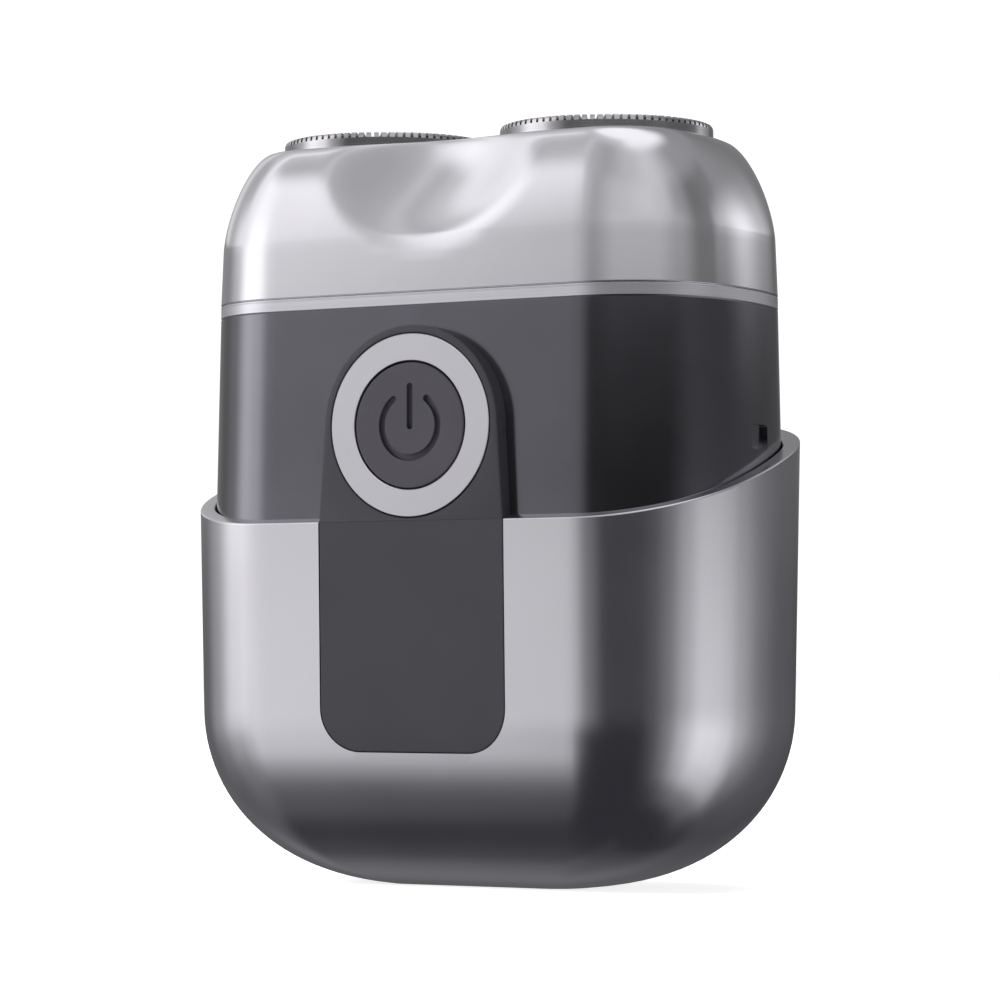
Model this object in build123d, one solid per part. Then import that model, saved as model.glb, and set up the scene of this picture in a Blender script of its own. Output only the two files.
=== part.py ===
"""Compact twin-head rotary shaver, in millimetres.

Origin: centre of the flat base. +Z is up, -Y is the front with the power
button, +X is to the right of someone who looks at the front.
"""
from build123d import *
from math import atan2, cos, degrees, pi, sin, sqrt
import os

# ---- plan curve of the body, at the top edge of the dark shell ----
half_flat = 20.83          # half the length of the flat front
half_width = 17.35         # centre to flat front
end_reach = 13.11          # how far each bowed end stands beyond the flat
corner_radius = 12.70      # corner arcs between flat and bowed end

# ---- heights ----
body_top = 67.3            # top edge of the dark body shell
band_height = 1.5          # brushed trim band
cover_seam = body_top + band_height
cover_top = 87.0           # flat top of the head cover
cap_top = 88.7             # top of the slotted caps
rim_front = 42.4           # lower shell's rim at the front
rim_back = 54.6            # and at the back
rim_middle = (rim_front + rim_back) / 2
bowl_height = 20.3         # height over which the lower shell rounds in

# ---- drafts and walls ----
body_draft = 0.0199        # the body widens downward by this much per mm
jacket_draft = 0.0205      # the lower shell narrows downward by this much
jacket_step = 2.34         # lower shell's outside beyond the body's top edge
jacket_gap = 0.2           # hairline gap between lower shell and body
jacket_wall = 1.55
jacket_straight = 40.0     # below this height the lower shell's wall is even
body_wall = 1.3
body_bottom = 22.0
bowl_end_inset = 18.0      # how far the ends of the flats draw in at the base
bowl_side_scale = 0.90     # how much the width shrinks at the base
bowl_end_power = 0.56      # shapes of the two rounded profiles
bowl_side_power = 0.91
bowl_turn = 0.9 * pi / 2  # the rounding stops here and leaves a flat base

# ---- head cover ----
cover_draft = 0.041
cover_wall = 1.2
shoulder_height = 11.5     # rounded shoulder, height and insets
shoulder_end = 5.4
shoulder_front = 3.6
shoulder_power = 1.6
cover_ceiling = 85.25      # underside of the cover's top
scoop_radius = 22.35       # spherical scoop between the heads, front and back
scoop_depth = 33.2         # its centre, from the middle plane
scoop_height = 91.9
seat_gap = 0.05            # faces that rest on each other

# ---- shaving heads ----
head_x = 15.0              # the two heads stand at plus and minus this
cap_radius = 12.5
cap_skin = 0.35
cap_hole_radius = 12.75
cap_flange_radius = 13.1
cap_flange_low = 84.5
cap_flange_high = 85.2
cap_corner_drop = 0.62     # height of the slotted outer corner
cap_corner_inset = 0.2
slot_count = 84
slot_width = 0.36
track_inner = 7.4          # inner edge of the slotted track
cap_float = 0.8            # how far a cap can be pushed in

# ---- drive ----
gear_module = 0.5
pinion_teeth = 12
gear_teeth = 48
tooth_thin = 0.065         # backlash taken off each tooth at the pitch circle
gear_low = 60.0
gear_face = 3.0
axle_radius = 1.0
running_gap = 0.05
motor_radius = 10.2
motor_low = 31.0
motor_high = 57.0
plate_thickness = 2.0

# ---- front panel and button ----
button_z = 53.3
panel_front = -19.75
tongue_low = 15.95
tongue_half = 12.25
tongue_corner = 5.0
arch_radius = 11.5
panel_gap = 0.12           # hairline around the inlaid tongue
bezel_radius = 10.5
bezel_bore = 7.4
bezel_proud = 0.03
bezel_depth = 0.8
button_radius = 7.2
button_travel = 0.3

base = (Align.CENTER, Align.CENTER, Align.MIN)
sides = (-1, 1)
side_names = {-1: "left", 1: "right"}


def cylinder(radius, low, high, x=0.0, y=0.0):
    """Upright cylinder between two heights."""
    return Pos(x, y, low) * Cylinder(radius, high - low, align=base)


def ring(outer, inner, low, high, x=0.0, y=0.0):
    """Upright ring between two heights."""
    return cylinder(outer, low, high, x, y) - cylinder(inner, low - 1, high + 1, x, y)


def block(x_range, y_range, z_range):
    """Box given by its limits along each axis."""
    size = [high - low for low, high in (x_range, y_range, z_range)]
    centre = [(high + low) / 2 for low, high in (x_range, y_range, z_range)]
    return Pos(*centre) * Box(*size)


def pin_y(radius, front, back, x=0.0, z=button_z):
    """Cylinder that lies along Y between two depths."""
    return Pos(x, (front + back) / 2, z) * Rot(90, 0, 0) * Cylinder(radius, back - front)


def hexagon_post(across_flats, low, high, x):
    """Upright hexagonal prism."""
    face = Pos(x, 0, low) * RegularPolygon(across_flats / 2, 6, major_radius=False)
    return extrude(face, high - low)


# ---- plan curve and the solids that are built on it ----

def plan_face(z, offset=0.0, inset=0.0, scale=1.0):
    """Two flats, four corner arcs and two bowed ends, all tangent.

    offset grows the curve evenly, inset shortens the flats, and scale
    shrinks the width, the corners and the ends together.
    """
    flat = half_flat - inset
    width = (half_width + offset) * scale
    reach = (end_reach + offset) * scale
    corner = (corner_radius + offset) * scale
    bow = (reach**2 + width**2 - 2 * width * corner) / (2 * (reach - corner))
    bow_x = flat + reach - bow
    turn = degrees(atan2(width - corner, flat - bow_x))
    rise = width - corner
    edges = [
        Line((-flat, -width), (flat, -width)),
        CenterArc((flat, -rise), corner, -90, 90 - turn),
        CenterArc((bow_x, 0), bow, -turn, 2 * turn),
        CenterArc((flat, rise), corner, turn, 90 - turn),
        Line((flat, width), (-flat, width)),
        CenterArc((-flat, rise), corner, 90, 90 - turn),
        CenterArc((-bow_x, 0), bow, 180 - turn, 2 * turn),
        CenterArc((-flat, -rise), corner, 180 + turn, 90 - turn),
    ]
    return Pos(0, 0, z) * make_face(Curve() + edges)


def prism(offset, low, high):
    """Upright solid on the plan curve."""
    return extrude(plan_face(low, offset), high - low)


def straight_loft(levels):
    """Ruled solid through (height, offset) pairs."""
    return loft([plan_face(z, offset) for z, offset in levels], ruled=True)


def jacket_offset(z):
    """Outside of the lower shell beyond the body's top edge."""
    return jacket_step - jacket_draft * (rim_front - z)


def bowl(shrink, floor):
    """Rounded underside of the lower shell, shrunk inward by a wall."""
    steps = 9
    height = bowl_height - floor
    faces = []
    for step in range(steps + 1):
        angle = bowl_turn * step / steps
        z = bowl_height - height * sin(angle) / sin(bowl_turn)
        end = 1 - cos(angle)**bowl_end_power
        side = 1 - cos(angle)**bowl_side_power
        faces.append(plan_face(z, jacket_offset(z) - shrink, bowl_end_inset * end,
                               1 - bowl_side_scale * side))
    return loft(faces)


def jacket_outside():
    """Whole outside of the lower shell, before its rim is cut."""
    top = rim_back + 4
    wall = straight_loft([(bowl_height, jacket_offset(bowl_height)), (top, jacket_offset(top))])
    return wall + bowl(0.0, 0.0)


def body_offset(z):
    """Outside of the body shell, against its top edge."""
    return body_draft * (body_top - z)


def body_outside(grow=0.0):
    """Outside of the dark body shell."""
    inner = jacket_offset(body_bottom) - jacket_wall - jacket_gap
    return straight_loft([(body_bottom, inner + grow),
                          (jacket_straight, body_offset(jacket_straight) + grow),
                          (body_top, grow)])


def rim_cutter():
    """Everything above the sloping rim."""
    reach = 24.0
    rise = (rim_back - rim_front) / (2 * 19.7) * reach
    high = rim_back + 30
    outline = Polyline((-reach, rim_middle - rise), (reach, rim_middle + rise),
                       (reach, high), (-reach, high), close=True)
    face = Plane.YZ * make_face(outline)
    return extrude(face, 50, both=True)


def panel_profile(grow=0.0):
    """Tongue with an arched top, drawn in the XZ plane."""
    radius = arch_radius + grow
    half = tongue_half + grow
    foot = tongue_low - grow
    corner = tongue_corner + grow
    knee = rim_front
    # the sides above the knee run tangent to the arch
    distance = sqrt(half**2 + (button_z - knee)**2)
    lean = atan2(half, button_z - knee)
    spread = atan2(radius, sqrt(distance**2 - radius**2))
    slant = lean - spread
    touch = (radius * cos(slant), button_z + radius * sin(slant))
    edges = [
        Line((-half + corner, foot), (half - corner, foot)),
        CenterArc((half - corner, foot + corner), corner, -90, 90),
        Line((half, foot + corner), (half, knee)),
        Line((half, knee), touch),
        CenterArc((0, button_z), radius, degrees(slant), 180 - 2 * degrees(slant)),
        Line((-touch[0], touch[1]), (-half, knee)),
        Line((-half, knee), (-half, foot + corner)),
        CenterArc((-half + corner, foot + corner), corner, 180, 90),
    ]
    return make_face(Curve() + edges)


def panel_prism(grow=0.0):
    """The panel's outline, run through the front of the object."""
    return Plane.XZ.offset(16.4) * extrude(panel_profile(grow), 6)


# ---- casings ----

def make_lower_shell():
    """Silver outer shell with a sloping rim and a window for the tongue."""
    inner_low = jacket_offset(bowl_height) - jacket_wall
    top = rim_back + 4
    cavity = straight_loft([(bowl_height, inner_low),
                            (jacket_straight, body_offset(jacket_straight) + jacket_gap),
                            (top, body_offset(top) + jacket_gap)])
    cavity += bowl(jacket_wall, jacket_wall)
    shell = jacket_outside() - cavity - rim_cutter() - panel_prism(panel_gap)
    port = extrude(Pos(0, 0, -1) * SlotOverall(9.6, 3.9), 5)
    shell -= port
    for x in screw_x:
        shell -= cylinder(1.15, -1, 5, x)
        shell -= cylinder(2.1, -1, 0.9, x)
    return shell


screw_x = (-10.5, 10.5)    # lower shell's screws
pocket_y = 1.3             # centre of the snap pockets in the body's ends
pocket_z = 52.0


def make_body_shell():
    """Dark body shell: an open tube with a deck ledge and snap pockets."""
    inner = jacket_offset(body_bottom) - jacket_wall - jacket_gap - body_wall
    ledge_low = 64.4
    ledge_high = 65.9
    shell = body_outside()
    shell -= straight_loft([(body_bottom - 0.01, inner),
                            (jacket_straight, body_offset(jacket_straight) - body_wall),
                            (ledge_low, -body_wall)])
    shell -= prism(-2.2, ledge_low - 0.5, ledge_high)
    shell -= prism(-body_wall, ledge_high, body_top + 1)
    shell -= pin_y(2.6, -19, -15)
    for side in sides:
        wedge = make_face(Polyline((33.9, -2.2), (36, -2.2), (36, 2.2), (33.2, 2.2), close=True))
        pocket = Pos(0, pocket_y, pocket_z - 1.4) * extrude(wedge, 2.8)
        shell -= pocket if side > 0 else mirror(pocket, Plane.YZ)
    return shell


def make_front_panel():
    """Tongue flush with the lower shell, and the raised arch around the button."""
    blank = panel_prism()
    arch = blank & block((-20, 20), (panel_front, -10), (rim_front, 80))
    front_edges = arch.edges().filter_by_position(Axis.Y, panel_front - 0.01, panel_front + 0.01)
    arch = fillet([edge for edge in front_edges if edge.center().Z > rim_front + 0.2], 0.2)
    tongue = blank & jacket_outside() & block((-20, 20), (-25, -10), (0, rim_front))
    panel = arch + tongue - body_outside(0.02)
    panel -= block((-20, 20), (-17.55, -10), (0, body_bottom + 0.01))
    panel -= pin_y(bezel_radius + 0.12, panel_front - 1, panel_front + bezel_depth)
    panel -= pin_y(bezel_bore, panel_front - 1, -10)
    panel -= pin_y(8.1, -18.6, -10)
    return panel


def make_bezel_ring():
    """Pale ring around the button."""
    front = panel_front - bezel_proud
    back = panel_front + bezel_depth - 0.02
    bezel = pin_y(bezel_radius, front, back) - pin_y(bezel_bore, front - 1, back + 1)
    return chamfer(bezel.edges().filter_by_position(Axis.Y, front - 0.01, front + 0.01), 0.06)


def power_symbol():
    """Generic power mark: an open circle and a bar, as an engraving tool."""
    radius = 3.72
    width = 0.8
    gap = 36
    depth = 0.6
    arc = CenterArc((0, 0), radius, 90 + gap, 360 - 2 * gap)
    mark = trace(arc, width)
    bar = Pos(0, 2.17) * RectangleRounded(width, 5.35, 0.38)
    face = Plane.XZ.offset(-panel_front + 0.5) * Pos(0, button_z) * (mark + bar)
    return extrude(face, -0.5 - depth)


def make_power_button():
    """Round button with an engraved power mark and a stem."""
    button = pin_y(button_radius, panel_front, -18.5) + pin_y(7.9, -18.55, -18.2)
    front = button.edges().filter_by_position(Axis.Y, panel_front - 0.01, panel_front + 0.01)
    button = fillet(front, 0.15)
    button -= power_symbol()
    return button + pin_y(1.9, -18.3, -17.0)


def make_button_seal():
    """Soft grommet around the button's stem, in the body's front wall."""
    return pin_y(2.58, -17.55, -16.4) - pin_y(1.95, -19, -16)


def make_trim_band():
    """Brushed band between body and head cover."""
    return prism(0, body_top, cover_seam) - prism(-body_wall, body_top - 1, cover_seam + 1)


# ---- head cover ----

def cover_face(z, shrink):
    """Section of the head cover at a height."""
    drop = max(0.0, z - (cover_top - shoulder_height)) / shoulder_height
    inset = 1 - (1 - min(drop, 1.0)**shoulder_power)**(1 / shoulder_power)
    offset = -cover_draft * (z - cover_seam) - shoulder_front * inset - shrink
    return plan_face(z, offset, (shoulder_end - shoulder_front) * inset)


def cover_solid(shrink, low, high):
    """Head cover's outside, or its inside when shrunk by the wall."""
    shoulder = cover_top - shoulder_height
    steps = 7
    faces = [cover_face(shoulder, shrink)]
    for step in range(1, steps + 1):
        share = 1 - (1 - step / steps)**1.6
        faces.append(cover_face(shoulder + (high - shoulder) * share, shrink))
    skirt = loft([cover_face(low, shrink), cover_face(shoulder, shrink)], ruled=True)
    return skirt + loft(faces)


def scoops(shrink):
    """Balls that hollow the front and back between the two heads."""
    balls = [Pos(0, side * scoop_depth, scoop_height) * Sphere(scoop_radius + shrink)
             for side in sides]
    return balls[0] + balls[1]


magnet_spots = [(x, y) for x in (-26.7, 26.7) for y in (-11.2, 11.2)]
magnet_radius = 1.75


def make_head_cover():
    """Silver cover that holds the two caps and lifts off the deck."""
    outside = cover_solid(0, cover_seam + seat_gap, cover_top) - scoops(0)
    inside = cover_solid(cover_wall, cover_seam - 1, cover_ceiling) - scoops(cover_wall)
    cover = outside - inside
    for side in sides:
        cover -= cylinder(cap_hole_radius, 80, 90, side * head_x)
    pads = [cylinder(2.8, 70.15, 76, x, y) for x, y in magnet_spots]
    for pad in pads:
        cover += pad & outside
    for x, y in magnet_spots:
        cover -= cylinder(magnet_radius + 0.05, 69, 71.75, x, y)
    cover += cylinder(1.5, 82.2, cover_ceiling + 0.5)
    cover -= cylinder(0.85, 80, 84.6)
    return cover


def make_retainer_frame():
    """Plate that keeps the caps and cutters in the head cover."""
    low = 80.6
    high = 81.8
    frame = block((-6, 6), (-5, 5), (low, high))
    for side in sides:
        x = side * head_x
        frame += cylinder(12.6, low, high, x)
        frame += ring(12.6, 11.8, low, 83.2, x)
        frame += block(sorted((side * 27, side * 30.4)), (-4, 4), (low, high))
    for side in sides:
        frame -= cylinder(9.6, low - 1, high + 0.001, side * head_x)
        frame -= cylinder(11.8, high, high + 3, side * head_x)
    return frame - cylinder(1.1, low - 1, high + 2)


def make_retainer_knob():
    """Turn knob that locks the retainer frame."""
    knob = cylinder(4.6, 78.6, 80.5)
    knob += block((-4.2, 4.2), (-0.8, 0.8), (76.9, 78.7))
    return knob + cylinder(0.8, 80.4, 84.4)


def make_magnets(low):
    """Four disc magnets."""
    return Compound([cylinder(magnet_radius, low, low + 1.5, x, y) for x, y in magnet_spots])


# ---- shaving heads ----

def make_cap(x):
    """Thin steel cap with radial slots over its rounded corner."""
    r = cap_radius
    top = cap_top
    corner = top - cap_corner_drop
    outline = [
        (r - cap_skin, cap_flange_low), (cap_flange_radius, cap_flange_low),
        (cap_flange_radius, cap_flange_high), (r, cap_flange_high), (r, corner),
        (r - 0.06, corner + 0.36), (r - cap_corner_inset, top), (track_inner - 0.3, top),
        (track_inner - 0.6, top - 0.5), (2.6, top - 0.5), (2.2, top - 0.2), (0, top - 0.2),
        (0, top - 0.2 - cap_skin), (2.4, top - 0.2 - cap_skin), (2.8, top - 0.5 - cap_skin),
        (track_inner - 0.5, top - 0.5 - cap_skin), (track_inner - 0.2, top - cap_skin),
        (r - cap_skin - 0.12, top - cap_skin), (r - cap_skin, corner),
    ]
    section = Plane.XZ * make_face(Polyline(*outline, close=True))
    cap = revolve(section, Axis.Z)
    middle = (track_inner + 0.4 + r + 0.4) / 2
    length = r - track_inner
    slot = Pos(middle, 0, corner + 1) * Rot(0, 0, 10) * Box(length, slot_width, 2)
    cap -= [Rot(0, 0, 360 * n / slot_count) * slot for n in range(slot_count)]
    return Pos(x, 0, 0) * cap


blade_count = 15


def make_cutter(x):
    """Steel cutter: a ring with raked blades that run under the slots."""
    top = cap_top - cap_skin - 0.1
    disc = ring(11.4, 4.2, 85.2, 85.9)
    blade = Pos(9.9, 0, 85.8) * Rot(14, 0, 0) * Box(2.6, 0.7, top - 85.8, align=base)
    for n in range(blade_count):
        disc += Rot(0, 0, 360 * n / blade_count) * blade
    trimmed = disc & cylinder(11.7, 85, top)
    return Pos(x, 0, 0) * trimmed


def make_cutter_hub(x):
    """Plastic carrier of the cutter, with a hexagonal drive socket."""
    hub = cylinder(5.4, 83.2, 85.19) + cylinder(4.15, 85.1, 86.3)
    hub = Pos(x, 0, 0) * hub
    return hub - hexagon_post(3.7, 83, 85.5, x)


# ---- drive ----

def gear_face_outline(teeth, phase):
    """Plain straight-sided teeth on a pitch circle."""
    pitch_radius = gear_module * teeth / 2
    tip = pitch_radius + gear_module * 0.95
    root = pitch_radius - gear_module * 1.2
    step = 2 * pi / teeth
    half_pitch = pi * gear_module / 4 - tooth_thin
    half_tip = half_pitch - gear_module * 0.95 * 0.42
    half_root = half_pitch + gear_module * 1.2 * 0.30
    points = []
    for n in range(teeth):
        middle = phase + n * step
        for radius, half in ((root, -half_root), (tip, -half_tip), (tip, half_tip), (root, half_root)):
            angle = middle + half / radius
            points.append((radius * cos(angle), radius * sin(angle)))
    return make_face(Polyline(*points, close=True))


def make_drive_gear(x):
    """Drive gear with the hexagonal post that carries the spindle."""
    phase = pi / gear_teeth
    gear = extrude(Pos(x, 0, gear_low) * gear_face_outline(gear_teeth, phase), gear_face)
    gear += cylinder(3.6, 59.3, 64.2, x)
    gear += hexagon_post(3.6, 64, 74, x)
    return gear - cylinder(axle_radius + running_gap, 59, 73, x)


def make_gear_axle(x):
    """Steel pin that the drive gear turns on."""
    return cylinder(axle_radius, 55.6, 72.5, x)


def make_spindle(x):
    """Sleeve that slides on the gear's post and drives the cutter."""
    spindle = cylinder(3.0, 65.2, 80.6, x) + cylinder(2.3, 80.5, 82.6, x)
    spindle += hexagon_post(3.4, 82.5, 85.35, x)
    spindle -= hexagon_post(3.8, 65, 75.6, x)
    return spindle - cylinder(1.75, 75, 80.0, x)


def make_spindle_spring(x):
    """Small coil spring that pushes the spindle up."""
    coil = Helix(pitch=1.0, height=5.4, radius=1.3)
    start = Plane(origin=coil @ 0, z_dir=coil % 0)
    wire = sweep(start * Circle(0.2), path=coil)
    return Pos(x, 0, 74.25) * wire


def make_spindle_seal(x):
    """Soft lip seal where the spindle leaves the deck."""
    return ring(4.4, 3.05, 68.9, 70.6, x)


# ---- motor ----

def make_motor_can():
    """Motor's steel can with its front boss."""
    can = cylinder(motor_radius, motor_low + 3, motor_high - 0.02)
    can += cylinder(3.0, motor_high - 0.1, motor_high + 1.4)
    can -= cylinder(motor_radius - 0.7, motor_low + 2, motor_high - 1)
    can -= cylinder(1.1, 50, 60)
    for side in sides:
        can -= cylinder(0.8, 55, 58, 0, side * 6.5)
    return can


def make_motor_end_cap():
    """Plastic end cap with the brush terminals."""
    end = cylinder(motor_radius, motor_low + 0.6, motor_low + 2.98)
    end += cylinder(3.0, motor_low - 0.6, motor_low + 0.7)
    end -= cylinder(1.1, motor_low + 0.2, motor_low + 4)
    for side in sides:
        end += block(sorted((side * 6.2, side * 6.7)), (-1.2, 1.2), (motor_low - 2, motor_low + 0.7))
    return end


def make_motor_rotor():
    """Wound rotor inside the can."""
    rotor = cylinder(7.2, motor_low + 7, motor_high - 6)
    rotor += cylinder(2.6, motor_low + 4.6, motor_low + 7.1)
    for n in range(5):
        rotor -= Rot(0, 0, 72 * n) * block((4.5, 8), (-0.6, 0.6), (motor_low, motor_high))
    return rotor - cylinder(axle_radius, 30, 60)


def make_motor_shaft():
    """Motor shaft."""
    return cylinder(axle_radius, motor_low + 0.4, gear_low + gear_face + 0.4)


def make_motor_pinion():
    """Pinion pressed on the motor shaft."""
    pinion = extrude(Pos(0, 0, gear_low) * gear_face_outline(pinion_teeth, 0), gear_face)
    return pinion - cylinder(axle_radius, 59, 64)


# ---- frame and deck ----

deck_screw_spots = [(0, -12.5), (0, 12.5), (-29.6, 0), (29.6, 0)]
battery_x = 21.4
battery_radius = 7.0
rib_x = 12.9


def make_chassis():
    """Inner frame that carries motor, gears, battery and boards."""
    plate_low = motor_high
    plate_high = motor_high + plate_thickness
    frame = prism(-body_wall - 0.45, plate_low, plate_high)
    frame -= cylinder(3.05, plate_low - 1, plate_high + 1)
    for side in sides:
        frame -= cylinder(1.0, plate_low - 1, plate_high + 1, 0, side * 6.5)
        frame += cylinder(2.6, 54.8, plate_high, side * head_x)
        frame += block(sorted((side * (rib_x - 0.8), side * (rib_x + 0.7))), (-6.3, 6.3), (10.4, plate_low + 0.1))
    frame += block((-rib_x, rib_x), (-5.6, 5.6), (10.4, 12.0))
    frame += block((rib_x, 24), (-5, 5), (10.4, 12.0))
    for side in sides:
        frame -= cylinder(axle_radius, 55.5, 62, side * head_x)
    for x, y in deck_screw_spots:
        frame += cylinder(1.7, plate_high - 0.1, 66.25, x, y)
        frame -= cylinder(0.8, 61, 67, x, y)
    for x in screw_x:
        frame += cylinder(1.9, 2.8, 10.5, x)
        frame -= cylinder(0.75, 1, 8, x)
    return frame - cylinder(motor_radius + 0.2, 30, motor_high)


def make_deck_plate():
    """Deck over the gears, with the raised seat of the head cover."""
    low = 66.3
    deck = prism(-body_wall - 0.15, low, cover_seam) + prism(-1.7, cover_seam - 0.1, 70.0)
    for side in sides:
        x = side * head_x
        deck -= cylinder(3.3, 60, 75, x)
        deck -= cylinder(4.4, 68.9, 75, x)
    for x, y in deck_screw_spots:
        deck -= cylinder(1.1, 60, 75, x, y)
        deck -= cylinder(2.0, 68.6, 75, x, y)
    for x, y in magnet_spots:
        deck -= cylinder(magnet_radius + 0.03, 68.45, 75, x, y)
    return deck


def make_deck_gasket():
    """Flat gasket between the deck and the body's ledge."""
    return prism(-body_wall - 0.15, 65.9, 66.3) - prism(-2.2, 65, 67)


def screw(x, y, head_low, head_radius, head_height, shank_radius, shank_end):
    """Pan-head screw with a cross recess; the shank ends above or below its head."""
    head = cylinder(head_radius, head_low, head_low + head_height, x, y)
    points_down = shank_end < head_low
    shank_range = (shank_end, head_low + 0.1) if points_down else (head_low, shank_end)
    body = head + cylinder(shank_radius, *shank_range, x, y)
    face = head_low + head_height if points_down else head_low
    for angle in (0, 90):
        slot = Pos(x, y, face) * Rot(0, 0, angle) * Box(head_radius * 1.1, 0.4, 0.9)
        body -= slot
    return body


def make_deck_screws():
    """Four screws through the deck into the frame."""
    return Compound([screw(x, y, 68.61, 1.85, 1.2, 0.8, 61.2) for x, y in deck_screw_spots])


def make_motor_screws():
    """Two screws that hold the motor to the frame."""
    top = motor_high + plate_thickness
    return Compound([screw(0, side * 6.5, top, 1.6, 0.8, 0.8, 56.1) for side in sides])


def make_jacket_screws():
    """Two screws that hold the lower shell, sunk in its underside."""
    return Compound([screw(x, 0, 0.1, 1.85, 0.79, 0.75, 7.5) for x in screw_x])


# ---- battery and electronics ----

def make_battery():
    """Cylindrical rechargeable cell with its cap."""
    cell = cylinder(battery_radius, 12.1, 54.0, battery_x)
    rim = cell.edges().filter_by(GeomType.CIRCLE)
    cell = fillet(rim, 0.6)
    return cell + cylinder(2.6, 53.9, 54.7, battery_x)


board_front = -12.6
board_back = -11.4


def make_circuit_board():
    """Main board behind the button."""
    return block((-11, 11), (board_front, board_back), (31, 56.7))


def make_tact_switch():
    """Switch body on the main board."""
    body = block((-3, 3), (-16.1, board_front - 0.01), (button_z - 3, button_z + 3))
    return body - pin_y(1.65, -17, -15)


def make_switch_plunger():
    """Plunger of the switch."""
    return pin_y(1.6, -16.98, -15.4)


def make_charging_board():
    """Small board above the charging port."""
    board = block((-8.5, 8.5), (-5.5, 5.5), (8.9, 10.3))
    return board


def make_usb_port():
    """Charging receptacle that opens downward."""
    port = extrude(Pos(0, 0, 0.7) * SlotOverall(8.95, 3.2), 8.18)
    port -= extrude(Pos(0, 0, 0) * SlotOverall(8.35, 2.6), 6.8)
    return port + block((-3.3, 3.3), (-0.35, 0.35), (2.0, 8.0))


def lead(points, radii, radius=0.55):
    """Insulated wire along straight runs and tangent arcs."""
    path = FilletPolyline(*points, radius=radii)
    start = Plane(origin=path @ 0, z_dir=path % 0)
    return sweep(start * Circle(radius), path=path)


def make_battery_leads():
    """Two wires from the cell to the charging board."""
    top = lead([(battery_x - 3, 7.9, 53), (battery_x - 3, 7.9, 24), (13.5, 7.5, 15), (7, 6.2, 9.6)],
               [12, 7])
    low = lead([(battery_x - 3, -7.9, 16), (14.5, -7.9, 14.5), (7, -6.2, 9.6)], [4])
    return Compound([top, low])


def make_motor_leads():
    """Two wires from the motor to the main board."""
    wires = []
    for side in sides:
        x = side * 6.45
        wires.append(lead([(x, -1.6, 29.6), (x, -5.5, 26.5), (x, -10.6, 30.2), (x, -10.75, 36)],
                          [3.0, 3.0], 0.5))
    return Compound(wires)


parts = {
    "lower_shell": make_lower_shell(),
    "body_shell": make_body_shell(),
    "front_panel": make_front_panel(),
    "bezel_ring": make_bezel_ring(),
    "power_button": make_power_button(),
    "button_seal": make_button_seal(),
    "trim_band": make_trim_band(),
    "deck_plate": make_deck_plate(),
    "deck_gasket": make_deck_gasket(),
    "head_cover": make_head_cover(),
    "retainer_frame": make_retainer_frame(),
    "retainer_knob": make_retainer_knob(),
    "head_magnets": make_magnets(70.2),
    "deck_magnets": make_magnets(68.46),
    "chassis": make_chassis(),
    "motor_can": make_motor_can(),
    "motor_end_cap": make_motor_end_cap(),
    "motor_rotor": make_motor_rotor(),
    "motor_shaft": make_motor_shaft(),
    "motor_pinion": make_motor_pinion(),
    "battery": make_battery(),
    "circuit_board": make_circuit_board(),
    "tact_switch": make_tact_switch(),
    "switch_plunger": make_switch_plunger(),
    "charging_board": make_charging_board(),
    "usb_port": make_usb_port(),
    "battery_leads": make_battery_leads(),
    "motor_leads": make_motor_leads(),
    "deck_screws": make_deck_screws(),
    "motor_screws": make_motor_screws(),
    "jacket_screws": make_jacket_screws(),
}
for side in sides:
    name = side_names[side]
    x = side * head_x
    parts["cap_" + name] = make_cap(x)
    parts["cutter_" + name] = make_cutter(x)
    parts["cutter_hub_" + name] = make_cutter_hub(x)
    parts["drive_gear_" + name] = make_drive_gear(x)
    parts["gear_axle_" + name] = make_gear_axle(x)
    parts["spindle_" + name] = make_spindle(x)
    parts["spindle_spring_" + name] = make_spindle_spring(x)
    parts["spindle_seal_" + name] = make_spindle_seal(x)

os.makedirs("parts", exist_ok=True)
for node, shape in parts.items():
    export_step(shape, "parts/" + node + ".step")
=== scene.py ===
"""Looks of a compact twin-head rotary shaver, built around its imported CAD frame."""
import bmesh
import bpy
from math import atan2, cos, hypot, pi, radians, sin, sqrt
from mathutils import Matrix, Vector


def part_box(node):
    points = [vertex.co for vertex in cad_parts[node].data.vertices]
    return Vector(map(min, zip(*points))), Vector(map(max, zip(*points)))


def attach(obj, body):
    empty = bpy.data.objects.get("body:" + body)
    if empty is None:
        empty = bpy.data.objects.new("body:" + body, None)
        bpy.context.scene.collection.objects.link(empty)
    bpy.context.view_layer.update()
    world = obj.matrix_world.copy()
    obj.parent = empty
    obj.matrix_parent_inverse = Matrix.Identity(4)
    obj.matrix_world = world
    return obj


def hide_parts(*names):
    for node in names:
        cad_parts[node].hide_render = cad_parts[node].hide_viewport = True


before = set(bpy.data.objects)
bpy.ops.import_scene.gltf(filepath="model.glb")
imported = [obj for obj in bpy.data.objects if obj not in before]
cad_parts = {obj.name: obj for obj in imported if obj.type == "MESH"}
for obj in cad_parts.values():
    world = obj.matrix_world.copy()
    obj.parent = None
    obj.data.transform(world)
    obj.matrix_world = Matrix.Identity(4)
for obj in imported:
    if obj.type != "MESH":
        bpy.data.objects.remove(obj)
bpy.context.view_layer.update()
MM = 0.001

# ---- driving dimensions, in millimetres; heights come from the frame ----


def span(node, axis):
    """Lowest and highest value of a CAD node along an axis, in millimetres."""
    low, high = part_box(node)
    return low[axis] / MM, high[axis] / MM


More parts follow.
